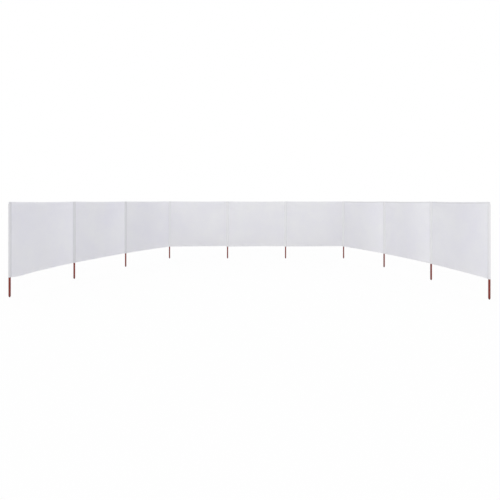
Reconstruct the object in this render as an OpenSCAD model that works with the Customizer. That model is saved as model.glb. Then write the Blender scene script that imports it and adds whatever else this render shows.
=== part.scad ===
// Beach windbreak: a run of cloth panels carried on round wooden poles.
// Each pole stands in a pocket sewn into the cloth, and its point is pushed into the ground.
// The run is set out as a back wall with a wing splayed forward at each end.
// Millimetres, +Z up, +X along the back wall, +Y away from the sheltered side.
// The origin is on the blunt end of the second pole of the back wall.

/* [Layout] */
// Distance between the centres of neighbouring poles
bay_pitch = 1220; // [900:10:1600]
// Number of bays in the back wall
back_bays = 3; // [1:1:5]
// Number of bays in each wing
wing_bays = 3; // [1:1:4]
// Angle by which the left wing splays out from square to the back wall
left_splay_angle = 29; // [0:1:40]
// Angle by which the right wing splays out from square to the back wall
right_splay_angle = 23; // [0:1:40]
// Angle by which each further bay of a wing turns in again
wing_curl_angle = 7.5; // [0:0.5:8]

/* [Poles] */
// Height from the points of the poles to the top of the cloth
overall_h = 1200; // [800:10:1600]
// Diameter of a pole
pole_d = 26; // [16:1:30]
// Diameter of the flat left on the domed top of a pole
pole_flat_d = 4; // [2:0.5:8]
// Length of the turned point
point_len = 16; // [8:1:80]
// Diameter of the blunt end of the point
point_d = 12; // [4:0.5:14]
// Gap between a pole and the cloth of its pocket
pole_gap = 0.3; // [0.1:0.1:0.6]

/* [Cloth] */
// Thickness of one layer of cloth
cloth_t = 0.8; // [0.4:0.1:1.5]
// Height of the cloth's lower edge above the points of the poles
ground_gap = 250; // [120:10:400]
// Height of the folded hems along the top and the bottom
hem_h = 22; // [14:1:40]
// Depth by which the cloth of a bay bellies outwards
belly = 14; // [4:1:40]
// Radius of the top corner at each end of the run
corner_r = 12; // [4:1:13]

/* [Pockets] */
// Width of a pocket from seam edge to seam edge
pocket_w = 56; // [46:1:80]
// Width of the sewn seam where the two layers of a pocket lie flat together
seam_w = 7; // [4:0.5:8]

/* [Hidden] */
bays = back_bays + 2 * wing_bays;
poles = bays + 1;
origin_pole = wing_bays + 2;
hem_z = overall_h - hem_h;
hem_half_t = 2 * cloth_t;
seam_reach = pocket_w / 2;
seam_root = seam_reach - seam_w;
pole_r = pole_d / 2;
pole_flat_r = pole_flat_d / 2;
pocket_r_in = pole_r + pole_gap;
pocket_r_out = pocket_r_in + cloth_t;
hem_r_out = pocket_r_out + cloth_t;
// The dome of a pole, the inside of its pocket and the outside share one centre height
ease = 0.2;
dome_z = hem_z - (hem_r_out + ease - pole_flat_r);
pole_len = dome_z + pole_r - pole_flat_r;
belly_steps = 16;
arc_angle = 9;
sharp_angle = 15;
cut = 1;
cloth_colour = [0.87, 0.87, 0.89];
pole_colour = [0.52, 0.26, 0.2];

// Names of the pieces, counted from left to right as seen from the sheltered side
function pole_name(j) = str("pole_", j);
function pocket_name(j) = str("pole_pocket_", j);
function panel_name(i) =
    i <= wing_bays ? str("left_wing_panel_", i)
    : i <= wing_bays + back_bays ? str("back_panel_", i - wing_bays)
    : str("right_wing_panel_", i - wing_bays - back_bays);

// Direction of bay i, from its left pole to its right pole, as an angle from +X
function heading(i) =
    i <= wing_bays ? 90 - left_splay_angle + (wing_bays - i) * wing_curl_angle
    : i <= wing_bays + back_bays ? 0
    : right_splay_angle - (i - wing_bays - back_bays - 1) * wing_curl_angle - 90;

function along(angle, distance) = distance * [cos(angle), sin(angle)];

// Place of pole j on the ground
function place(j) =
    j == origin_pole ? [0, 0]
    : j > origin_pole ? place(j - 1) + along(heading(j - 1), bay_pitch)
    : place(j + 1) - along(heading(j), bay_pitch);

// Angles at which the cloth leaves pole j, anticlockwise: one at an end pole, or else two
function leaving(j) =
    j == 1 ? [heading(1)]
    : j == poles ? [heading(bays) + 180]
    : [heading(j), heading(j - 1) + 180];

// Points along an arc, or the one point where two tangents cross before the arc begins
function arc(r, from, to) =
    to <= from ? [along((from + to) / 2, r / cos((from - to) / 2))]
    : let (steps = ceil((to - from) / arc_angle))
        [for (k = [0:steps]) along(from + (to - from) * k / steps, r)];

// Flat sewn strip that runs out to the seam's edge at an angle, as thick as two times half_t
function strip(angle, from, half_t) =
    let (side = along(angle + 90, half_t))
        [along(angle, from) - side, along(angle, seam_reach) - side,
         along(angle, seam_reach) + side, along(angle, from) + side];

// Outline of cloth pulled round a pole, tangent to radius r, out to the seam at each angle
function wrap(r, half_t, angles) =
    let (
        tangent = atan2(half_t, seam_root) + acos(r / norm([seam_root, half_t])),
        last = len(angles) - 1
    )
        [for (k = [0:last])
            let (next = k == last ? angles[0] + 360 : angles[k + 1])
                each concat(
                    half_t > 0 ? strip(angles[k], seam_root, half_t)
                        : [along(angles[k], seam_root)],
                    arc(r, angles[k] + tangent, next - tangent)
                )];

// Cross-section of a pocket's top: upright sides of radius r that close in a round shoulder
function shoulder(r) =
    let (
        dome = [for (p = arc(r - pole_flat_r, 0, 90)) [pole_flat_r + p[0], dome_z + p[1]]],
        side = concat([[r, 0]], dome)
    )
        concat(side, [for (k = [len(side) - 1:-1:0]) [-side[k][0], side[k][1]]]);

function is_end(j) = j == 1 || j == poles;

module raised(from, to) {
    translate([0, 0, from]) linear_extrude(to - from) children();
}

// Directions of the shoulder over pole j: the mean one, unless the run turns a sharp corner there
function shoulder_angles(j) =
    is_end(j) ? leaving(j)
    : let (angles = leaving(j), bend = angles[1] - angles[0] - 180)
        abs(bend) > sharp_angle ? angles : [angles[0] + bend / 2];

// Keeps what lies under the shoulder of radius r, along the cloth on each side of pole j
module under_shoulder(j, r) {
    angles = shoulder_angles(j);
    reach = seam_reach + cut;
    back = len(leaving(j)) > len(angles) ? reach : r;
    intersection() {
        children();
        for (angle = angles)
            rotate(angle) rotate([90, 0, 90]) translate([0, 0, -back])
                linear_extrude(back + reach) polygon(shoulder(r));
    }
}

// The folded top hem over pole j, flat from seam to seam, lapped one thickness over the pocket
module pocket_hem(j) {
    back = is_end(j) ? hem_r_out + cut : hem_half_t;
    for (angle = leaving(j))
        raised(hem_z - cloth_t, overall_h) polygon(strip(angle, -back, hem_half_t));
}

// Keeps what lies under the rounded top corner at an end of the run
module under_corner(angle) {
    across = hem_r_out + cut;
    far = -hem_r_out;
    corner = [for (p = arc(corner_r, 90, 180)) [far + corner_r + p[0], overall_h - corner_r + p[1]]];
    intersection() {
        children();
        rotate(angle) rotate([90, 0, 0]) translate([0, 0, -across])
            linear_extrude(2 * across)
                polygon(concat(
                    [[far, 0], [seam_reach + cut, 0], [seam_reach + cut, overall_h]],
                    corner
                ));
    }
}

// Turned hardwood dowel with a domed top and a blunt point
module pole(j) {
    dome = [for (p = arc(pole_r - pole_flat_r, 0, 90)) [pole_flat_r + p[0], dome_z + p[1]]];
    color(pole_colour) translate(place(j))
        rotate_extrude($fn = 64)
            polygon(concat(
                [[0, 0], [point_d / 2, 0], [pole_r, point_len]],
                dome,
                [[0, pole_len]]
            ));
}

// Outside of a pocket: two layers of cloth, thicker where the hems are folded
module pocket_outside(j) {
    under_shoulder(j, hem_r_out + ease) {
        raised(ground_gap, hem_z) polygon(wrap(pocket_r_out, cloth_t, leaving(j)));
        raised(ground_gap, ground_gap + hem_h) polygon(wrap(hem_r_out, hem_half_t, leaving(j)));
    }
    if (is_end(j))
        under_corner(leaving(j)[0]) pocket_hem(j);
    else
        pocket_hem(j);
}

// Room for the pole, open at the bottom and sewn shut under the top hem
module pocket_inside(j) {
    under_shoulder(j, pocket_r_in + ease)
        raised(ground_gap - cut, hem_z) polygon(wrap(pocket_r_in, 0, leaving(j)));
}

// Cloth pocket round a pole; the one at each end of the run has a rounded top corner
module pocket(j) {
    color(cloth_colour) translate(place(j))
        difference() {
            pocket_outside(j);
            pocket_inside(j);
        }
}

// Plan of a bay's cloth, bellied outwards between the seams of its two pockets
function bellied(half_t) =
    let (
        span = bay_pitch - 2 * seam_reach,
        line = [for (k = [0:belly_steps])
            let (f = k / belly_steps) [seam_reach + span * f, 4 * belly * f * (1 - f)]]
    )
        concat(
            [for (k = [0:belly_steps]) line[k] - [0, half_t]],
            [for (k = [belly_steps:-1:0]) line[k] + [0, half_t]]
        );

// One bay of cloth with a folded hem along its top and its bottom
module panel(i) {
    color(cloth_colour) translate(place(i)) rotate(heading(i)) {
        raised(ground_gap, overall_h) polygon(bellied(cloth_t / 2));
        for (z = [ground_gap, hem_z])
            raised(z, z + hem_h) polygon(bellied(cloth_t));
    }
}

for (j = [1:poles]) {
    pole(j);
    pocket(j);
}
for (i = [1:bays])
    panel(i);
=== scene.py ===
"""Beach windbreak: cloth bays, sewn pole pockets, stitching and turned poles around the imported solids.

Metres, +Z up, +X along the back wall, +Y away from the sheltered side.
"""
import math
from collections import namedtuple

import bmesh
import bpy
import numpy as np
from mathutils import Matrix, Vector


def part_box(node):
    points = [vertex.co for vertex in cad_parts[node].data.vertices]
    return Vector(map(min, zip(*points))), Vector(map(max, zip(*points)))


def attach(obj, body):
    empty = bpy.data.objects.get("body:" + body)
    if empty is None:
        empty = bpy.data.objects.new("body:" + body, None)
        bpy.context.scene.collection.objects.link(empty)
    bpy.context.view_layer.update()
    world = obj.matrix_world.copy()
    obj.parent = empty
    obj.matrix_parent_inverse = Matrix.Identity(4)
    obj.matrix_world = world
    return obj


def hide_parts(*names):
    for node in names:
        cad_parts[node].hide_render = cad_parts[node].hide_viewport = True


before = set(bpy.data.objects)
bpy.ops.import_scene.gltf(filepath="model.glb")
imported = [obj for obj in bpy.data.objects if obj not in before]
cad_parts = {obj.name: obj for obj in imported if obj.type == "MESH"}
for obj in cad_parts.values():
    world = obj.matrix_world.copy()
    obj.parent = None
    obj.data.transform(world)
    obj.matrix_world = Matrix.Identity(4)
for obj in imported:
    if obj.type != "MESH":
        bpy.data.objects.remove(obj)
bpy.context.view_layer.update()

# The run of poles and bays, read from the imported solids
MM = 0.001
POLES = 10
WALLS = ("left_wing_panel", "back_panel", "right_wing_panel")
BAYS = [f"{wall}_{k}" for wall in WALLS for k in (1, 2, 3)]


def centre(node):
    """Middle of a solid, seen from above."""
    low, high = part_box(node)
    return np.array([(low.x + high.x) / 2, (low.y + high.y) / 2])


pole_at = [centre(f"pole_{j}") for j in range(1, POLES + 1)]
cloth_low, cloth_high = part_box("back_panel_2")
pole_low, pole_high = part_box("pole_5")
FOOT = cloth_low.z
TOP = cloth_high.z
POLE_R = (pole_high.x - pole_low.x) / 2
POLE_LEN = pole_high.z
PITCH = float(np.linalg.norm(pole_at[5] - pole_at[4]))

# Cloth, hems and folds
CLOTH_T = 0.8 * MM
FOLD_R = 0.45 * MM
HEM_H = 22 * MM
HEM_Z = TOP - HEM_H
HEM_HALF = 1.2 * MM
HEM_STITCH = 19 * MM
CRISP_EDGE = math.radians(60)

# Seams of the pockets, and the bays tucked into them
SEAM_REACH = 28 * MM
SEAM_ROOT = 21 * MM
SEAM_HALF = 0.85 * MM
TUCK = 5 * MM
BAY_START = SEAM_REACH - TUCK
BAY_WIDTH = PITCH - 2 * BAY_START
BAY_HEIGHT = TOP - FOOT

# Pockets round the poles
POCKET_R = POLE_R + 0.75 * MM
END_REACH = POLE_R + 1.9 * MM
CORNER_R = 12 * MM

# Threads: those of the weave, and the stitches
THREAD_PITCH = 0.7 * MM
STITCH_PITCH = 4.2 * MM
STITCH_LEN = 3.3 * MM
STITCH_D = 0.6 * MM

# Turned poles
DOME_FLAT = 2 * MM
DOME_Z = POLE_LEN - (POLE_R - DOME_FLAT)
POINT_LEN = 16 * MM
TIP_R = 6 * MM


# Node trees: sums and products of fields become Math nodes
class Field:
    """A value in a node tree that varies over a surface."""

    def __init__(self, tree, socket):
        self.tree = tree
        self.socket = socket

    def math(self, operation, *others):
        return math_node(self.tree, operation, self, *others)

    def __add__(self, other):
        return self.math("ADD", other)

    def __radd__(self, other):
        return self.math("ADD", other)

    def __sub__(self, other):
        return self.math("SUBTRACT", other)

    def __rsub__(self, other):
        return math_node(self.tree, "SUBTRACT", other, self)

    def __mul__(self, other):
        return self.math("MULTIPLY", other)

    def __rmul__(self, other):
        return self.math("MULTIPLY", other)

    def __truediv__(self, other):
        return self.math("DIVIDE", other)

    def __rtruediv__(self, other):
        return math_node(self.tree, "DIVIDE", other, self)

    def __neg__(self):
        return self.math("MULTIPLY", -1.0)


def put(tree, socket, item):
    """Links a field or a socket to an input, or sets the input's own value."""
    if isinstance(item, Field):
        tree.links.new(item.socket, socket)
    elif isinstance(item, bpy.types.NodeSocket):
        tree.links.new(item, socket)
    else:
        socket.default_value = item


def add(tree, kind, inputs=None, **settings):
    """A new node with its settings and inputs; an input is named or numbered."""
    node = tree.nodes.new(kind)
    for name, value in settings.items():
        setattr(node, name, value)
    for name, item in (inputs or {}).items():
        put(tree, node.inputs[name], item)
    return node


def math_node(tree, operation, *items):
    node = add(tree, "ShaderNodeMath", dict(enumerate(items)), operation=operation)
    return Field(tree, node.outputs[0])


def vector(tree, x, y, z):
    return add(tree, "ShaderNodeCombineXYZ", {"X": x, "Y": y, "Z": z}).outputs[0]


def split(tree, item):
    node = add(tree, "ShaderNodeSeparateXYZ", {0: item})
    return [Field(tree, out) for out in node.outputs]


def noise(tree, coordinates, scale=1.0, detail=1.0, roughness=0.5):
    """Smooth noise from about 0 to 1."""
    node = add(tree, "ShaderNodeTexNoise", {
        "Vector": coordinates, "Scale": scale, "Detail": detail, "Roughness": roughness,
    })
    return Field(tree, node.outputs["Fac"])


def clamp(value):
    """A field held between 0 and 1."""
    return value.math("MAXIMUM", 0.0).math("MINIMUM", 1.0)


def contrast(value, gain):
    """A field from 0 to 1, spread out from its middle."""
    return clamp(0.5 + (value - 0.5) * gain)


def near(value, goal, within):
    """1 where a field is close to a goal, and 0 elsewhere."""
    return (value - goal).math("ABSOLUTE").math("LESS_THAN", within)


def fade(distance, length):
    """1 at no distance, falling smoothly to nothing."""
    return (-(distance / length)).math("EXPONENT")


FLOAT = "NodeSocketFloat"
WHOLE = "NodeSocketInt"
VECTOR = "NodeSocketVector"
GEOMETRY = "NodeSocketGeometry"
MATERIAL = "NodeSocketMaterial"


def start_tree(name, kind, inputs, outputs):
    """A node group with named sockets: returns the tree, its inputs as fields and its output node."""
    tree = bpy.data.node_groups.new(name, kind)
    for label, (socket_type, value) in inputs.items():
        socket = tree.interface.new_socket(label, in_out="INPUT", socket_type=socket_type)
        if value is not None:
            socket.default_value = value
    for label, socket_type in outputs.items():
        tree.interface.new_socket(label, in_out="OUTPUT", socket_type=socket_type)
    entry = tree.nodes.new("NodeGroupInput")
    given = {label: Field(tree, entry.outputs[label]) for label in inputs}
    return tree, given, tree.nodes.new("NodeGroupOutput")


def put_out(tree, out, **fields):
    """Links fields to a node group's outputs of the same names."""
    for name, field in fields.items():
        put(tree, out.inputs[name], field)
    return tree


# Geometry trees
def position(tree):
    return split(tree, add(tree, "GeometryNodeInputPosition").outputs[0])


def store(tree, geometry, name, value, data_type="FLOAT", domain="POINT"):
    node = add(
        tree, "GeometryNodeStoreNamedAttribute",
        {"Geometry": geometry, "Name": name, "Value": value},
        data_type=data_type, domain=domain,
    )
    return node.outputs["Geometry"]


def recall(tree, name, data_type="FLOAT"):
    node = add(tree, "GeometryNodeInputNamedAttribute", {"Name": name}, data_type=data_type)
    return Field(tree, node.outputs["Attribute"])


def join(tree, *parts):
    node = tree.nodes.new("GeometryNodeJoinGeometry")
    for part in parts:
        tree.links.new(part, node.inputs[0])
    return node.outputs[0]


def unit_grid(tree, columns, rows):
    """A grid of points, with each point's share of the way along both sides."""
    grid = add(tree, "GeometryNodeMeshGrid", {
        "Size X": 1.0, "Size Y": 1.0, "Vertices X": columns, "Vertices Y": rows,
    })
    x, y, _ = position(tree)
    return grid.outputs["Mesh"], x + 0.5, y + 0.5


def set_position(tree, geometry, place):
    node = add(tree, "GeometryNodeSetPosition", {"Geometry": geometry, "Position": place})
    return node.outputs[0]


def merge(tree, geometry, distance):
    node = add(tree, "GeometryNodeMergeByDistance", {"Geometry": geometry, "Distance": distance})
    return node.outputs[0]


def finish_tree(tree, geometry, material, out):
    """Ends a tree in plain geometry with its material."""
    solid = add(tree, "GeometryNodeRealizeInstances", {"Geometry": geometry})
    coloured = add(tree, "GeometryNodeSetMaterial", {
        "Geometry": solid.outputs[0], "Material": material,
    })
    return put_out(tree, out, Geometry=coloured.outputs[0])


def hemmed_sheet(tree, given):
    """A flat bay and its two turned hems, each point marked with its place across and up the cloth."""
    width, height, hem, radius = (given[name] for name in ("Width", "Height", "Hem", "Fold Radius"))
    turn_share = 0.4
    stitch_share, share_catch = 0.9, 0.02
    row_catch = 4 * MM

    def strip(rows, lay):
        geometry, across, along = unit_grid(tree, given["Columns"], rows)
        level, back, length, stitch = lay(along)
        marks = {"across": across, "level": level, "back": back, "stitch": stitch}
        for name, value in marks.items():
            geometry = store(tree, geometry, name, value)
        flat = vector(tree, across * width, length, 0.0)
        return store(tree, geometry, "UVMap", flat, "FLOAT2", "CORNER")

    def face(along):
        level, line = along * height, given["Hem Stitch"]
        stitch = near(level, line, row_catch) + near(level, height - line, row_catch)
        return level, 0.0, level, stitch

    def folded(edge, way):
        def lay(along):
            angle = (along / turn_share).math("MINIMUM", 1.0) * math.pi
            run = (along - turn_share).math("MAXIMUM", 0.0) / (1.0 - turn_share) * hem
            level = edge + way * (radius * angle.math("SINE") - run)
            back = radius * (1.0 - angle.math("COSINE"))
            length = edge + way * (radius * angle + run)
            return level, back, length, near(along, stitch_share, share_catch)
        return lay

    top_hem = strip(given["Hem Rows"], folded(height, 1.0))
    low_hem = strip(given["Hem Rows"], folded(0.0, -1.0))
    low_hem = add(tree, "GeometryNodeFlipFaces", {"Mesh": low_hem}).outputs[0]
    return join(tree, strip(given["Rows"], face), top_hem, low_hem)


def hung_place(tree, given):
    """Where each point of a bay hangs: bellied between the poles, with folds, slack and uneven edges."""
    width, height, seed = given["Width"], given["Height"], given["Seed"]
    across, z = recall(tree, "across"), recall(tree, "level")
    x, up = across * width, z / height
    bow = across * (1.0 - across) * 4.0
    free = bow.math("SQRT")

    # The belly is deepest at the foot, and folds fan out from the two held top corners
    belly = given["Belly"] * bow * (given["Foot Belly"] - up * up * given["Top Tension"])

    def corner_folds(from_side, phase):
        down = height - z
        share = (from_side * from_side + down * down).math("SQRT") / given["Corner Reach"]
        swell = share * (1.0 - share).math("EXPONENT")
        turn = down.math("ARCTAN2", from_side) * given["Corner Folds"]
        return given["Corner Fold"] * swell * (turn + phase).math("COSINE")

    corners = corner_folds(x, seed * 2.3) + corner_folds(width - x, seed * 3.1)

    # Slack lies in long leaning waves, and the edges ruffle, the held top one less
    low_reach, top_reach, top_share = 100 * MM, 50 * MM, 0.4
    waves = noise(tree, vector(tree, x * 2.0 + z * 0.5, z * 0.9, seed * 7.0), 1.6)
    slack = given["Slack"] * free * (waves - 0.5) * (1.3 - up * 0.7)
    edge_way = vector(tree, x * 4.5, seed * 5.0, 0.0)
    ruffle = (noise(tree, edge_way, 1.3) - 0.5) * given["Ruffle"] * free
    low_ruffle = ruffle * fade(z, low_reach)
    top_ruffle = ruffle * fade((height - z).math("ABSOLUTE"), top_reach) * top_share
    outward = belly + corners * free + slack + low_ruffle + top_ruffle + recall(tree, "back")

    # The lower edge rises to the right, dips beside the left pole and wavers; the top edge sags
    waver_reach = 250 * MM
    rise = given["Right Rise"] * across
    from_left = x / given["Dip Reach"]
    dip = given["Left Dip"] * from_left * (1.0 - from_left).math("EXPONENT")
    waver = (noise(tree, edge_way, 0.8) - 0.5) * given["Ruffle"] * free * fade(z, waver_reach)
    sag = given["Top Sag"] * bow * up
    lifted = given["Lower Edge"] + z - sag + (rise - dip) * (1.0 - up) + waver
    return vector(tree, given["Start"] + x, outward, lifted)


def gathers_of(tree, given):
    """How much a bay is puckered: most along its seams and its hem stitches."""
    width, height, line = given["Width"], given["Height"], given["Hem Stitch"]
    x, z = recall(tree, "across") * width, recall(tree, "level")
    seam_in, seam_spread, hem_spread = 8 * MM, 16 * MM, 10 * MM
    from_seam = (x.math("MINIMUM", width - x) - seam_in).math("ABSOLUTE")
    from_low, from_top = (z - line).math("ABSOLUTE"), (height - line - z).math("ABSOLUTE")
    return fade(from_seam, seam_spread) + fade(from_low.math("MINIMUM", from_top), hem_spread)


def painted_light_and_shade_of(tree, given):
    """How far a bay departs from its cloth's tone: painted light near the right pole, painted shade near
    the foot.
    """
    across, low = recall(tree, "across"), 1.0 - recall(tree, "level") / given["Height"]
    start, balance = 0.45, 0.22
    # Painted light rising towards the right pole, less a painted shade near the foot
    painted_rise = ((across - start) / (1.0 - start)).math("MAXIMUM", 0.0) - balance
    return given["Painted Light"] * painted_rise - given["Foot Shade"] * low * low * low


def hem_shade_of(tree, given):
    """How much painted shade darkens a bay's top hem, marked all over the bay's upper half."""
    return given["Hem Shade"] * recall(tree, "level").math("GREATER_THAN", given["Height"] / 2.0)


def cloth_bay_tree():
    """One bay of cloth between two pockets: a hemmed sheet that bellies, sags and folds."""
    tree, given, out = start_tree("Cloth bay", "GeometryNodeTree", {
        "Width": (FLOAT, BAY_WIDTH),
        "Height": (FLOAT, BAY_HEIGHT),
        "Start": (FLOAT, BAY_START),
        "Lower Edge": (FLOAT, FOOT),
        "Hem": (FLOAT, HEM_H),
        "Hem Stitch": (FLOAT, HEM_STITCH),
        "Fold Radius": (FLOAT, FOLD_R),
        "Belly": (FLOAT, 14 * MM),
        "Foot Belly": (FLOAT, 1.05),
        "Top Tension": (FLOAT, 0.25),
        "Top Sag": (FLOAT, 5 * MM),
        "Right Rise": (FLOAT, 0.0),
        "Left Dip": (FLOAT, 0.0),
        "Dip Reach": (FLOAT, 140 * MM),
        "Corner Fold": (FLOAT, 2.5 * MM),
        "Corner Folds": (FLOAT, 9.0),
        "Corner Reach": (FLOAT, 200 * MM),
        "Slack": (FLOAT, 6 * MM),
        "Ruffle": (FLOAT, 8 * MM),
        "Painted Light": (FLOAT, 0.0),
        "Foot Shade": (FLOAT, 0.0),
        "Hem Shade": (FLOAT, 0.0),
        "Seed": (FLOAT, 0.0),
        "Columns": (WHOLE, 97),
        "Rows": (WHOLE, 51),
        "Hem Rows": (WHOLE, 11),
        "Place": (VECTOR, None),
        "Heading": (FLOAT, 0.0),
        "Material": (MATERIAL, None),
    }, {"Geometry": GEOMETRY})
    hung = set_position(tree, hemmed_sheet(tree, given), hung_place(tree, given))
    sewn = merge(tree, hung, 0.01 * MM)
    puckered = store(tree, sewn, "pucker", gathers_of(tree, given))
    # Painted light and shade, stored on the points for the cloth's colour
    shade_painted = store(tree, puckered, "painted_shading", painted_light_and_shade_of(tree, given))
    # Painted shade on the top hem, for the cloth's colour
    shaded = store(tree, shade_painted, "hem_shade", hem_shade_of(tree, given))
    turned = add(tree, "GeometryNodeTransform", {
        "Geometry": shaded,
        "Translation": given["Place"],
        "Rotation": vector(tree, 0.0, 0.0, given["Heading"]),
    })
    return finish_tree(tree, turned.outputs[0], given["Material"], out)


def stitch(tree, given):
    """One stitch along X: a thread that arches over the cloth and dives into it at both ends."""
    rod = add(tree, "GeometryNodeMeshCylinder", {
        "Vertices": 3, "Side Segments": 2, "Radius": 1.0, "Depth": 1.0,
    }, fill_type="NGON")
    smooth = add(tree, "GeometryNodeSetShadeSmooth", {"Geometry": rod.outputs["Mesh"]})
    up, across, along = position(tree)
    arch = 1.0 - along * along * 4.0
    end_girth, swell, sink, crown = 0.3, 0.2, 0.2, 0.45
    girth = given["Thread"] * (end_girth + arch * swell)
    rise = given["Thread"] * (arch * crown - sink)
    bent = vector(tree, along * given["Length"], -(across * girth), up * girth + rise)
    return set_position(tree, smooth.outputs[0], bent)


def stitching_tree():
    """Thread laid along the edges whose two ends are marked as stitch line, on the cloth's outer face."""
    tree, given, out = start_tree("Stitching", "GeometryNodeTree", {
        "Geometry": (GEOMETRY, None),
        "Pitch": (FLOAT, STITCH_PITCH),
        "Length": (FLOAT, STITCH_LEN),
        "Thread": (FLOAT, STITCH_D),
        "Stand Off": (FLOAT, CLOTH_T / 2),
        "Shortest": (FLOAT, 0.9),
        "Longest": (FLOAT, 1.05),
        "Seed": (WHOLE, 4),
        "Material": (MATERIAL, None),
    }, {"Geometry": GEOMETRY})
    normal = add(tree, "GeometryNodeInputNormal").outputs["Normal"]
    marked = store(tree, given["Geometry"], "outward", normal, "FLOAT_VECTOR")
    both_ends = 0.9
    chosen = recall(tree, "stitch").math("GREATER_THAN", both_ends)
    lines = add(tree, "GeometryNodeMeshToCurve", {"Mesh": marked, "Selection": chosen})
    points = add(
        tree, "GeometryNodeResampleCurve",
        {"Curve": lines.outputs[0], "Length": given["Pitch"]}, mode="LENGTH",
    )
    outward = recall(tree, "outward", "FLOAT_VECTOR")
    lift = add(tree, "ShaderNodeVectorMath", {0: outward, "Scale": given["Stand Off"]}, operation="SCALE")
    raised = add(tree, "GeometryNodeSetPosition", {
        "Geometry": points.outputs[0], "Offset": lift.outputs[0],
    })
    tangent = add(tree, "GeometryNodeInputTangent").outputs[0]
    way = add(
        tree, "FunctionNodeAxesToRotation",
        {"Primary Axis": tangent, "Secondary Axis": outward},
        primary_axis="X", secondary_axis="Z",
    )
    least, most, drawn = 2, 3, 1
    pull = add(tree, "FunctionNodeRandomValue", {
        least: given["Shortest"], most: given["Longest"], "Seed": given["Seed"],
    }, data_type="FLOAT").outputs[drawn]
    laid = add(tree, "GeometryNodeInstanceOnPoints", {
        "Points": raised.outputs[0], "Instance": stitch(tree, given), "Rotation": way.outputs[0],
        "Scale": vector(tree, pull, 1.0, 1.0),
    })
    return finish_tree(tree, laid.outputs[0], given["Material"], out)


def turned_pole_tree():
    """A dowel turned to a blunt point at the foot and a dome at the top."""
    tree, given, out = start_tree("Turned pole", "GeometryNodeTree", {
        "Length": (FLOAT, POLE_LEN),
        "Radius": (FLOAT, POLE_R),
        "Point Length": (FLOAT, POINT_LEN),
        "Tip Radius": (FLOAT, TIP_R),
        "Shoulder Blend": (FLOAT, 1.2 * MM),
        "Edge Round": (FLOAT, 0.9 * MM),
        "Dome Height": (FLOAT, DOME_Z),
        "Dome Flat": (FLOAT, DOME_FLAT),
        "Sides": (WHOLE, 41),
        "Place": (VECTOR, None),
        "Material": (MATERIAL, None),
    }, {"Geometry": GEOMETRY})
    length, radius, round_r = given["Length"], given["Radius"], given["Edge Round"]
    dome = given["Dome Height"]

    def drop(arc_r, past):
        """How far a quarter circle has fallen in, at a distance past its start."""
        beyond = past.math("MAXIMUM", 0.0)
        return arc_r - (arc_r * arc_r - beyond * beyond).math("MAXIMUM", 0.0).math("SQRT")

    def girth(z):
        cone = given["Tip Radius"] + (radius - given["Tip Radius"]) * z / given["Point Length"]
        shaft = math_node(tree, "SMOOTH_MIN", cone, radius, given["Shoulder Blend"])
        return shaft - drop(round_r, round_r - z) - drop(radius - given["Dome Flat"], z - dome)

    def zone(rows, lay):
        geometry, round_share, share = unit_grid(tree, given["Sides"], rows)
        angle = round_share * math.tau
        z, r = lay(share)
        unrolled = vector(tree, angle * radius, z + r, 0.0)
        mapped = store(tree, geometry, "UVMap", unrolled, "FLOAT2", "CORNER")
        return set_position(
            tree, mapped, vector(tree, r * angle.math("COSINE"), r * angle.math("SINE"), z))

    def rising(start, stop):
        def lay(share):
            z = start + (stop - start) * share
            return z, girth(z)
        return lay

    def opening(z):
        return lambda share: (z, girth(z) * share)

    def closing(z):
        return lambda share: (z, girth(z) * (1.0 - share))

    taper_end = given["Point Length"] * 1.15
    parts = [
        zone(4, opening(0.0)),
        zone(5, rising(0.0, round_r)),
        zone(22, rising(round_r, taper_end)),
        zone(14, rising(taper_end, dome)),
        zone(12, rising(dome, length)),
        zone(3, closing(length)),
    ]
    shell = merge(tree, join(tree, *parts), 0.001 * MM)
    smooth = add(tree, "GeometryNodeSetShadeSmooth", {"Geometry": shell})
    placed = add(tree, "GeometryNodeTransform", {
        "Geometry": smooth.outputs[0], "Translation": given["Place"],
    })
    return finish_tree(tree, placed.outputs[0], given["Material"], out)


# Plain meshes from trees and modifiers
def link(name, data):
    piece = bpy.data.objects.new(name, data)
    bpy.context.scene.collection.objects.link(piece)
    return piece


def settle(piece):
    """Turns a piece with modifiers into a plain mesh and takes the modifiers off."""
    graph = bpy.context.evaluated_depsgraph_get()
    made = bpy.data.meshes.new_from_object(
        piece.evaluated_get(graph), preserve_all_data_layers=True, depsgraph=graph)
    made.name = piece.name
    for slot in reversed(range(len(made.materials))):
        if made.materials[slot] is None:
            made.materials.pop(index=slot)
    piece.modifiers.clear()
    piece.data = made
    return piece


def grow(name, tree, inputs, mesh=None):
    """A piece made by a geometry tree, with the tree's inputs given by name."""
    piece = link(name, mesh or bpy.data.meshes.new(name))
    modifier = piece.modifiers.new(tree.name, "NODES")
    modifier.node_group = tree
    sockets = {
        item.name: item.identifier for item in tree.interface.items_tree
        if item.item_type == "SOCKET" and item.in_out == "INPUT"
    }
    for label, value in inputs.items():
        modifier[sockets[label]] = value
    return settle(piece)


def thicken(piece):
    """Gives a sheet the thickness of its cloth, half to each side, with crisp cut edges."""
    modifier = piece.modifiers.new("Cloth thickness", "SOLIDIFY")
    modifier.thickness = CLOTH_T
    modifier.offset = 0.0
    mesh = settle(piece).data
    mesh.shade_smooth()
    mesh.set_sharp_from_angle(angle=CRISP_EDGE)


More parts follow.
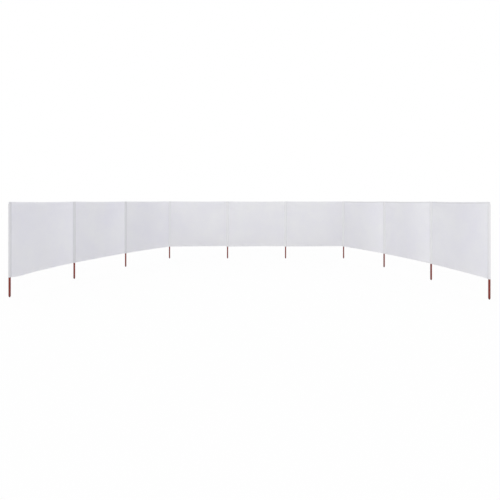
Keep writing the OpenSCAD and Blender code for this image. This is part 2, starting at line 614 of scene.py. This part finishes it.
# Shader groups
def weave_group():
    """Plain weave in a cloth's own flat coordinates, in metres."""
    tree, given, out = start_tree("Plain weave", "ShaderNodeTree", {
        "Flat": (VECTOR, None),
        "Thread Pitch": (FLOAT, THREAD_PITCH),
    }, {"Height": FLOAT, "Tone": FLOAT})
    x, y, _ = split(tree, given["Flat"])
    warp, weft = x / given["Thread Pitch"], y / given["Thread Pitch"]
    crossing = (warp * math.pi).math("SINE") * (weft * math.pi).math("SINE")
    from_thread_to_thread, along_thread = 0.35, 0.012
    warp_slubs = noise(tree, vector(tree, warp * from_thread_to_thread, weft * along_thread, 0.0))
    weft_slubs = noise(tree, vector(tree, warp * along_thread, weft * from_thread_to_thread, 7.0))
    return put_out(tree, out, Height=0.5 + crossing * 0.5, Tone=(warp_slubs + weft_slubs) * 0.5)


def drift_group():
    """Slow change of tone over a piece, and darkening towards the foot."""
    tree, given, out = start_tree("Slow tone", "ShaderNodeTree", {
        "Place": (VECTOR, None),
        "Patch Size": (FLOAT, 0.4),
        "Contrast": (FLOAT, 1.0),
        "Foot": (FLOAT, FOOT),
        "Darkening Height": (FLOAT, 0.3),
    }, {"Tone": FLOAT, "Dust": FLOAT})
    _, _, z = split(tree, given["Place"])
    wide = noise(tree, given["Place"], 1.0 / given["Patch Size"], detail=3.0, roughness=0.55)
    fine = noise(tree, given["Place"], 11.0 / given["Patch Size"], detail=2.0)
    tone = contrast(wide * 0.8 + fine * 0.2, given["Contrast"])
    darkening = fade(z - given["Foot"], given["Darkening Height"]) * (0.4 + fine * 1.2)
    return put_out(tree, out, Tone=tone, Dust=clamp(darkening))


def grain_group():
    """Straight wood grain along Z: growth rings, fibres and open pores."""
    tree, given, out = start_tree("Straight grain", "ShaderNodeTree", {
        "Place": (VECTOR, None),
        "Ring Width": (FLOAT, 2.8 * MM),
        "Fibre Width": (FLOAT, 0.7 * MM),
    }, {"Rings": FLOAT, "Fibres": FLOAT, "Pores": FLOAT})
    x, y, z = split(tree, given["Place"])

    # Rings lie across the dowel and wander a little as they rise
    wander = noise(tree, vector(tree, x * 30.0, y * 30.0, z * 2.2), detail=2.0)
    across = (x * 0.8 + y * 0.6) / given["Ring Width"] + wander * 3.0
    bands = noise(tree, vector(tree, across, z * 1.5, 0.0), 1.3, detail=3.0, roughness=0.6)

    # Fibres are long streaks, and pores the darkest of some shorter ones
    u, v = x / given["Fibre Width"], y / given["Fibre Width"]
    fibres = noise(tree, vector(tree, u, v, z * 22.0), detail=2.0)
    streaks = noise(tree, vector(tree, u * 0.7, v * 0.7, z * 70.0))
    pores = clamp((streaks - 0.62) * 6.0)
    return put_out(tree, out, Rings=contrast(bands, 2.4), Fibres=fibres, Pores=pores)


# Materials
def start_material(name):
    material = bpy.data.materials.new(name)
    material.use_nodes = True
    tree = material.node_tree
    tree.nodes.clear()
    return material, tree, tree.nodes.new("ShaderNodeOutputMaterial")


def place_group(tree, group, inputs):
    """A shader group's outputs by name."""
    node = add(tree, "ShaderNodeGroup", inputs, node_tree=group)
    return {socket.name: Field(tree, socket) for socket in node.outputs}


def blend_colours(tree, share, first, second):
    first_colour, second_colour, blended = 6, 7, 2
    node = add(
        tree, "ShaderNodeMix", {"Factor": share, first_colour: first, second_colour: second},
        data_type="RGBA",
    )
    return node.outputs[blended]


def blend_shaders(tree, share, first, second):
    return add(tree, "ShaderNodeMixShader", {0: share, 1: first, 2: second}).outputs[0]


def raise_surface(tree, height, depth, strength, under=None):
    """Normals of a surface raised by a field, on top of other raised normals if there are any."""
    bump = add(tree, "ShaderNodeBump", {"Strength": strength, "Distance": depth, "Height": height})
    if under is not None:
        put(tree, bump.inputs["Normal"], under)
    return bump.outputs[0]


def object_place(tree):
    return add(tree, "ShaderNodeTexCoord").outputs["Object"]


def mesh_value(tree, name):
    """A value stored on the points of a mesh, or 0 where there is none."""
    return Field(tree, add(tree, "ShaderNodeAttribute", attribute_name=name).outputs["Fac"])


ClothTones = namedtuple("ClothTones", "light dark dusty")
SINGLE = ClothTones((0.910, 0.914, 0.931, 1), (0.846, 0.841, 0.908, 1), (0.83, 0.825, 0.852, 1))
DOUBLED = ClothTones((0.797, 0.798, 0.826, 1), (0.762, 0.760, 0.802, 1), (0.74, 0.735, 0.760, 1))
THREAD_DARK, THREAD_LIGHT = (0.66, 0.66, 0.68, 1), (0.84, 0.84, 0.86, 1)
STAIN_DARK, STAIN_LIGHT = (0.115, 0.015, 0.011, 1), (0.275, 0.040, 0.027, 1)
PORE = (0.050, 0.008, 0.006, 1)
TIP_DARK = (0.060, 0.016, 0.013, 1)
FLOOR_PAINT = (0.86, 0.86, 0.87, 1)
WHITE = (1, 1, 1, 1)


def cloth_material(name, weave, drift, tones, let_through, through_hem=None):
    """Woven cloth that lets some light through, and another share of it in the hems of a bay; a bay's
    painted light and shade are added to its colour.
    """
    material, tree, out = start_material(name)
    flat = add(tree, "ShaderNodeUVMap", uv_map="UVMap").outputs[0]
    threads = place_group(tree, weave, {"Flat": flat})
    slow = place_group(tree, drift, {"Place": object_place(tree), "Patch Size": 0.42, "Contrast": 2.2})
    tone = slow["Tone"] * 0.75 + threads["Tone"] * 0.25
    cloth = blend_colours(tree, tone, tones.dark, tones.light)
    # Darker towards the foot
    darkened = blend_colours(tree, slow["Dust"] * 0.25, cloth, tones.dusty)
    # Painted light and shade stored on a bay's points brighten or darken its colour
    painted_shading, share = mesh_value(tree, "painted_shading"), let_through
    if through_hem is not None:
        _, along, _ = split(tree, flat)
        single = along.math("MINIMUM", BAY_HEIGHT - along).math("GREATER_THAN", HEM_H)
        share = through_hem + single * (let_through - through_hem)
        # Painted shade darkens the top hem
        painted_shading = painted_shading - mesh_value(tree, "hem_shade") * (1.0 - single)
    colour = add(tree, "ShaderNodeHueSaturation", {"Color": darkened, "Value": 1.0 + painted_shading}).outputs[0]
    gathers = mesh_value(tree, "pucker") * noise(tree, flat, 95.0)
    woven = raise_surface(tree, threads["Height"], depth=0.2 * MM, strength=0.35)
    normal = raise_surface(tree, gathers, depth=2.5 * MM, strength=0.5, under=woven)
    surface = add(tree, "ShaderNodeBsdfPrincipled", {
        "Base Color": colour, "Roughness": 0.8 + threads["Tone"] * 0.15, "Normal": normal,
        "Specular IOR Level": 0.2, "Sheen Weight": 0.05, "Sheen Roughness": 0.5,
    })
    through = add(tree, "ShaderNodeBsdfTranslucent", {"Color": colour, "Normal": normal})
    both = blend_shaders(tree, share, surface.outputs[0], through.outputs[0])
    put(tree, out.inputs["Surface"], both)
    return material


def thread_material(drift):
    """Twisted white sewing thread."""
    material, tree, out = start_material("sewing_thread")
    place = object_place(tree)
    slow = place_group(tree, drift, {"Place": place, "Patch Size": 0.02})
    twist = noise(tree, place, 2600.0)
    surface = add(tree, "ShaderNodeBsdfPrincipled", {
        "Base Color": blend_colours(tree, slow["Tone"], THREAD_DARK, THREAD_LIGHT),
        "Roughness": 0.55 + twist * 0.25,
        "Normal": raise_surface(tree, twist, depth=0.1 * MM, strength=0.4),
    })
    put(tree, out.inputs["Surface"], surface.outputs[0])
    return material


def pole_material(grain, drift):
    """Red-brown stained hardwood, darker towards the point at its foot."""
    material, tree, out = start_material("stained_hardwood")
    place = object_place(tree)
    wood = place_group(tree, grain, {"Place": place})
    slow = place_group(tree, drift, {
        "Place": place, "Patch Size": 0.12, "Foot": 0.0, "Darkening Height": 20 * MM,
    })
    mixed = wood["Rings"] * 0.4 + wood["Fibres"] * 0.4 + slow["Tone"] * 0.3
    stained = blend_colours(tree, mixed, STAIN_DARK, STAIN_LIGHT)
    pored = blend_colours(tree, wood["Pores"] * 0.7, stained, PORE)
    relief = wood["Fibres"] * 0.5 - wood["Pores"] * 0.8
    surface = add(tree, "ShaderNodeBsdfPrincipled", {
        # Darker towards the point at the foot
        "Base Color": blend_colours(tree, slow["Dust"] * 0.7, pored, TIP_DARK),
        "Roughness": 0.42 + wood["Fibres"] * 0.22,
        "Normal": raise_surface(tree, relief, depth=0.2 * MM, strength=0.35),
        "Specular IOR Level": 0.3,
    })
    put(tree, out.inputs["Surface"], surface.outputs[0])
    return material


# Plan of the run
def heading(i):
    """Direction of bay i, from its left pole to its right pole."""
    step = pole_at[i] - pole_at[i - 1]
    return math.atan2(step[1], step[0])


def polar(angle, distance):
    return distance * np.array([math.cos(angle), math.sin(angle)])


def lengths(points):
    """Distance run along a line of points, at each point."""
    return np.concatenate([[0], np.cumsum(np.linalg.norm(np.diff(points, axis=0), axis=1))])


def evened(points, count, passes=2):
    """The same line with evenly spaced points, and its bends a little rounded."""
    run = lengths(points)
    goals = np.linspace(0, run[-1], count)
    line = np.stack([np.interp(goals, run, points[:, axis]) for axis in (0, 1)], axis=1)
    for _ in range(passes):
        line[1:-1] = line[1:-1] / 2 + (line[:-2] + line[2:]) / 4
    return line


def outward_of(points):
    """Unit normals on the right-hand side of a line."""
    way = np.gradient(points, axis=0)
    way /= np.linalg.norm(way, axis=1)[:, None]
    return np.stack([way[:, 1], -way[:, 0]], axis=1)


def layer_plan(start, stop, count, bend_points=40):
    """One layer of a pocket from above: flat at a seam, tangent round the pole, flat at the next seam."""
    lean = math.atan2(SEAM_HALF, SEAM_ROOT) + math.acos(POCKET_R / math.hypot(SEAM_ROOT, SEAM_HALF))
    first, last = start + lean, stop - lean
    if last > first:
        bend = [polar(a, POCKET_R) for a in np.linspace(first, last, bend_points)]
    else:
        bend = [polar((first + last) / 2, POCKET_R / math.cos((first - last) / 2))]
    near_side, far_side = polar(start + math.pi / 2, SEAM_HALF), polar(stop - math.pi / 2, SEAM_HALF)
    return evened(np.array([
        polar(start, SEAM_REACH) + near_side, polar(start, SEAM_ROOT) + near_side, *bend,
        polar(stop, SEAM_ROOT) + far_side, polar(stop, SEAM_REACH) + far_side,
    ]), count)


def hem_plan(start, stop, count):
    """The middle of the hem over a pocket, straight out along each seam."""
    return evened(np.array([polar(start, SEAM_REACH), [0, 0], polar(stop, SEAM_REACH)]), count)


# Sewn pockets, made in rows from the turned-in mouth up to the fold over the top
MIDDLE_COLUMNS = 33
END_COLUMNS = 53
INSIDE_ROWS = 4
MOUTH_TURNS = np.linspace(0, math.pi, 5)
SHOULDER_TURNS = np.linspace(0, math.pi / 2, 9)[1:]
TOP_TURNS = np.linspace(0, math.pi / 2, 4)
BODY_STEP = 15 * MM
LEAST_STEP = 0.3 * MM
MOUTH_STITCH = FOOT + HEM_STITCH
TOP_STITCH = HEM_Z + 3 * MM
STITCH_COLUMN = 2
CREASE = 0.3 * MM
CREASE_WAVES = 6
CREASE_START = 60 * MM

# A row's height, its share of roundness, its push outwards and its share of the hem's thickness
Row = namedtuple("Row", "z roundness push thickness", defaults=(1.0, 0.0, 1.0))


def pocket_rows():
    hem = FOOT + HEM_H
    rows = [Row(z) for z in np.linspace(hem, FOOT + 2 * MM, INSIDE_ROWS)]
    rows += [
        Row(FOOT + FOLD_R * (1 - math.sin(a)), push=FOLD_R * (1 - math.cos(a))) for a in MOUTH_TURNS
    ]
    mouth = [FOOT + 6 * MM, FOOT + 12 * MM, MOUTH_STITCH, hem, hem + 3 * MM]
    body = np.linspace(hem + 9 * MM, DOME_Z, round((DOME_Z - FOOT) / BODY_STEP))
    for z in [*mouth, *body]:
        over_hem = min(1, max(0, 1 - (z - hem) / (5 * MM)))
        rows.append(Row(z, push=2 * FOLD_R * over_hem))
    rows += [
        Row(DOME_Z + (HEM_Z - DOME_Z) * math.sin(a), roundness=max(math.cos(a), 0))
        for a in SHOULDER_TURNS
    ]
    rows += [Row(z, roundness=0.0) for z in (TOP_STITCH, HEM_Z + 9 * MM, TOP - 6 * MM)]
    rows += [
        Row(TOP - HEM_HALF * (1 - math.sin(a)), roundness=0.0, thickness=math.cos(a)) for a in TOP_TURNS
    ]
    return rows


ROWS = pocket_rows()
STEPS = np.maximum(np.abs(np.diff([row.z for row in ROWS])), LEAST_STEP)
CLIMB = np.concatenate([[0], np.cumsum(STEPS)])


def pocket_layer(round_line, middle_at, flat_out, seed):
    """Points of one layer of a pocket, row by row upwards; middle_at gives the hem's line at a height."""
    rng = np.random.default_rng(seed)
    run = lengths(round_line)
    share = run / run[-1]
    free = np.sin(np.pi * share) ** 2
    round_out = outward_of(round_line)
    waves = [
        (rng.uniform(0.05, 0.16), rng.uniform(-2, 2), rng.uniform(0, math.tau))
        for _ in range(CREASE_WAVES)
    ]
    points = []
    for row in ROWS:
        wave = sum(
            np.sin(row.z / tall * math.tau + share * tilt * math.pi + phase)
            for tall, tilt, phase in waves
        )
        from_mouth = min(1, (row.z - FOOT) / CREASE_START)
        crease = CREASE * free * (1.2 + wave / 3) * row.roundness * from_mouth
        flat = middle_at(row.z) + flat_out * HEM_HALF * row.thickness
        plan = flat + (round_line - flat) * row.roundness + round_out * (row.push + crease)[:, None]
        points.append(np.column_stack([plan, np.full(len(plan), row.z)]))
    return np.array(points)


def stitch_marks(columns):
    """1 on the points that carry stitching: along both seams, and through the hems of mouth and top."""
    marks = np.zeros((len(ROWS), columns))
    outside = INSIDE_ROWS + len(MOUTH_TURNS) - 1
    for row, mark in zip(ROWS[outside:], marks[outside:]):
        if row.thickness > 0.99:
            mark[[STITCH_COLUMN, -1 - STITCH_COLUMN]] = 1
            if min(abs(row.z - z) for z in (MOUTH_STITCH, TOP_STITCH)) < 0.1 * MM:
                mark[STITCH_COLUMN:columns - STITCH_COLUMN] = 1
    return marks


def puckers_of(points):
    """How much a pocket gathers: most along its seams and under the top hem."""
    seam_spread, hem_spread = 0.12, 9 * MM
    from_seam = 1 - np.abs(np.linspace(-1, 1, points.shape[1]))
    from_hem = np.abs(points[:, :, 2] - HEM_Z)
    return np.maximum(np.exp(-from_seam / seam_spread)[None, :], np.exp(-from_hem / hem_spread))


def flat_places(across, climb):
    """Places on the flat cloth, from each column's distance across and each row's climb."""
    return np.stack(np.meshgrid(across, climb), axis=-1)


def pocket_mesh(j, points, flats, marks):
    """A pocket's sheet from rows of points, with its flat places as UV map."""
    rows, columns = points.shape[:2]
    index = np.arange(rows * columns).reshape(rows, columns)
    faces = np.stack([index[:-1, :-1], index[:-1, 1:], index[1:, 1:], index[1:, :-1]], axis=-1)
    points[:, :, :2] += pole_at[j - 1]
    mesh = bpy.data.meshes.new(f"pole_pocket_{j}_cloth")
    mesh.from_pydata(points.reshape(-1, 3).tolist(), [], faces.reshape(-1, 4).tolist())
    layer = mesh.uv_layers.new(name="UVMap")
    corners = np.empty(len(mesh.loops), dtype=np.int32)
    mesh.loops.foreach_get("vertex_index", corners)
    layer.uv.foreach_set("vector", flats.reshape(-1, 2)[corners].astype(np.float32).ravel())
    for label, values in (("stitch", marks), ("pucker", puckers_of(points))):
        attribute = mesh.attributes.new(label, "FLOAT", "POINT")
        attribute.data.foreach_set("value", values.astype(np.float32).ravel())
    return mesh


def merge_doubles(mesh):
    work = bmesh.new()
    work.from_mesh(mesh)
    bmesh.ops.remove_doubles(work, verts=work.verts, dist=0.02 * MM)
    work.to_mesh(mesh)
    work.free()


def middle_pocket(j):
    """A pocket between two bays: one cloth that goes up the front, over the top and down the back.

    Returns its mesh, the flat size of its cloth at the widest, and the cloth's area.
    """
    right, left = heading(j), heading(j - 1) + math.pi

    def layer(start, stop, turn, seed):
        line = layer_plan(start, stop + turn, MIDDLE_COLUMNS)
        hem = hem_plan(start, stop, MIDDLE_COLUMNS)
        return lengths(line), pocket_layer(line, lambda z: hem, outward_of(hem), seed)

    front_run, front = layer(left, right, math.tau, 100 + j)
    back_run, back = layer(right, left, 0.0, 200 + j)
    back = back[:, ::-1]
    front[-1] = (front[-1] + back[-1]) / 2
    front_width, back_width, length = float(front_run[-1]), float(back_run[-1]), float(2 * CLIMB[-1])
    flats = np.concatenate([
        flat_places(front_run - front_width / 2, CLIMB),
        flat_places(back_width / 2 - back_run[::-1], length - CLIMB[-2::-1]),
    ])
    marks = stitch_marks(MIDDLE_COLUMNS)
    mesh = pocket_mesh(
        j, np.concatenate([front, back[-2::-1]]), flats, np.concatenate([marks, marks[-2::-1]]))
    return mesh, (max(front_width, back_width), length), (front_width + back_width) / 2 * length


def end_pocket(j):
    """The pocket at an end of the run: one cloth wrapped round the pole, sewn shut at the top.

    Returns its mesh, the flat size of its cloth, and the cloth's area.
    """
    seam = heading(1) if j == 1 else heading(POLES - 1) + math.pi
    wrapped = layer_plan(seam, seam + math.tau, END_COLUMNS)
    share, fold_share = np.linspace(0, 1, END_COLUMNS), 0.03
    from_seam = 1 - np.abs(1 - 2 * share)
    side = np.clip((0.5 - share) / fold_share, -1, 1)
    flat_out = side[:, None] * polar(seam + math.pi / 2, 1.0)[None, :]

    def middle_at(z):
        above = max(0.0, z - (TOP - CORNER_R))
        cut_back = CORNER_R - math.sqrt(max(CORNER_R ** 2 - above ** 2, 0.0))
        along = SEAM_REACH - (SEAM_REACH + END_REACH - cut_back) * from_seam
        return along[:, None] * polar(seam, 1.0)[None, :]

    run = lengths(wrapped)
    points = pocket_layer(wrapped, middle_at, flat_out, 300 + j)
    mesh = pocket_mesh(j, points, flat_places(run, CLIMB), stitch_marks(END_COLUMNS))
    merge_doubles(mesh)
    width, length = float(run[-1]), float(CLIMB[-1])
    return mesh, (width, length), width * length


# Finishes
weave, drift, grain = weave_group(), drift_group(), grain_group()
cloth = cloth_material("woven_cloth", weave, drift, SINGLE, let_through=0.26, through_hem=0.13)
doubled = cloth_material("woven_cloth_doubled", weave, drift, DOUBLED, let_through=0.05)
doubled_thin = cloth_material("woven_cloth_doubled_thin", weave, drift, DOUBLED, let_through=0.18)
thread = thread_material(drift)
wood = pole_material(grain, drift)

# Pieces; the first few pockets from the left let a little more light through than the others
THIN_POCKETS = 3
bay_tree, stitch_tree, pole_tree = cloth_bay_tree(), stitching_tree(), turned_pole_tree()


def on_ground(spot):
    return float(spot[0]), float(spot[1]), 0.0


def sew(name, mesh):
    """The stitching on a sheet, from the stitch lines marked on it."""
    return grow(f"{name}_stitching", stitch_tree, {"Material": thread}, mesh.copy())


def finish_piece(piece, replaced=None):
    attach(piece, "root")
    if replaced:
        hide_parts(replaced)


for i, node in enumerate(BAYS, start=1):
    in_back = node.startswith("back")
    rng = np.random.default_rng(40 + i)
    sheet = grow(f"{node}_cloth", bay_tree, {
        "Place": on_ground(pole_at[i - 1]),
        "Heading": heading(i),
        "Seed": float(i),
        "Belly": 13 * MM + float(rng.uniform(-2 * MM, 2 * MM)),
        "Top Sag": 4 * MM + float(rng.uniform(0, 3 * MM)),
        "Right Rise": 9 * MM if in_back else 2 * MM,
        "Left Dip": 12 * MM if i == 1 else 0.0,
        # Painted light towards the right pole on the wings, and painted shade near the foot of the back
        # wall
        "Painted Light": 0.0 if in_back else 0.052,
        "Foot Shade": 0.028 if in_back else 0.0,
        # Painted shade along the right wing's top hem
        "Hem Shade": 0.09 if node.startswith("right") else 0.0,
        "Material": cloth,
    })
    stitching = sew(node, sheet.data)
    thicken(sheet)
    finish_piece(sheet, node)
    finish_piece(stitching)

for j in range(1, POLES + 1):
    node = f"pole_pocket_{j}"
    mesh, flat, area = end_pocket(j) if j in (1, POLES) else middle_pocket(j)
    pocket = link(f"{node}_cloth", mesh)
    stitching = sew(node, mesh)
    mesh.materials.append(doubled_thin if j <= THIN_POCKETS else doubled)
    thicken(pocket)
    finish_piece(pocket, node)
    finish_piece(stitching)

for j in range(1, POLES + 1):
    pole = grow(f"pole_{j}_wood", pole_tree, {"Place": on_ground(pole_at[j - 1]), "Material": wood})
    finish_piece(pole, f"pole_{j}")


# Studio: floor, light and camera
def seen_directly(tree):
    """1 where a ray comes straight from the camera, a gloss or a clear surface, and 0 for light."""
    path = add(tree, "ShaderNodeLightPath")
    camera, gloss, clear = (
        Field(tree, path.outputs[f"Is {kind} Ray"]) for kind in ("Camera", "Glossy", "Transmission")
    )
    return clamp(camera + gloss + clear)


def make_floor(size):
    """White where it is seen, with a faint shadow near the object; plain paint for the light."""
    material, tree, out = start_material("studio_floor")
    x, y, _ = split(tree, object_place(tree))
    far = add(tree, "ShaderNodeMapRange", {
        "Value": (x * x + y * y).math("SQRT"),
        "From Min": 6.0, "From Max": 30.0, "To Min": 0.93, "To Max": 1.0,
    })
    white = seen_directly(tree) * far.outputs[0]
    paint = add(tree, "ShaderNodeBsdfDiffuse", {"Color": FLOOR_PAINT})
    glow = add(tree, "ShaderNodeEmission", {"Color": WHITE, "Strength": 1.0})
    put(tree, out.inputs["Surface"], blend_shaders(tree, white, paint.outputs[0], glow.outputs[0]))
    mesh = bpy.data.meshes.new("floor")
    mesh.from_pydata(
        [(-size, -size, 0), (size, -size, 0), (size, size, 0), (-size, size, 0)], [], [(0, 1, 2, 3)])
    mesh.materials.append(material)
    floor = link("floor", mesh)


def make_world(ambient):
    """Pure white where it is seen, and even light of the ambient strength on the object."""
    world = bpy.data.worlds.new("studio")
    world.use_nodes = True
    tree = world.node_tree
    tree.nodes.clear()
    seen = seen_directly(tree)
    strength = seen + (1.0 - seen) * ambient
    light = add(tree, "ShaderNodeBackground", {"Color": WHITE, "Strength": strength})
    out = tree.nodes.new("ShaderNodeOutputWorld")
    put(tree, out.inputs["Surface"], light.outputs[0])
    bpy.context.scene.world = world


def add_sun(name, towards, strength, spread, colour):
    """Even soft light from one side; towards points from the object to the light."""
    lamp = bpy.data.lights.new(name, "SUN")
    lamp.energy = strength
    lamp.color = colour
    lamp.angle = math.radians(spread)
    sun = link(name, lamp)
    sun.rotation_euler = Vector(towards).to_track_quat("Z", "Y").to_euler()


def add_camera(place, lens, shift_y):
    """A camera that looks level along +Y."""
    lens_data = bpy.data.cameras.new("camera")
    lens_data.sensor_width = 36.0
    lens_data.sensor_fit = "HORIZONTAL"
    lens_data.lens = lens
    lens_data.shift_y = shift_y
    lens_data.clip_end = 300.0
    camera = link("camera", lens_data)
    camera.location = place
    camera.rotation_euler = (math.pi / 2, 0, 0)
    return camera


make_floor(size=60.0)
make_world(ambient=1.035)
add_sun("key", towards=(-0.30, -0.86, 0.40), strength=0.28, spread=50, colour=(1.0, 0.99, 0.72))
scene = bpy.context.scene
scene.camera = add_camera(place=(0.472, -8.435, 1.216), lens=28.88, shift_y=-0.0988)
scene.view_settings.view_transform = "Standard"
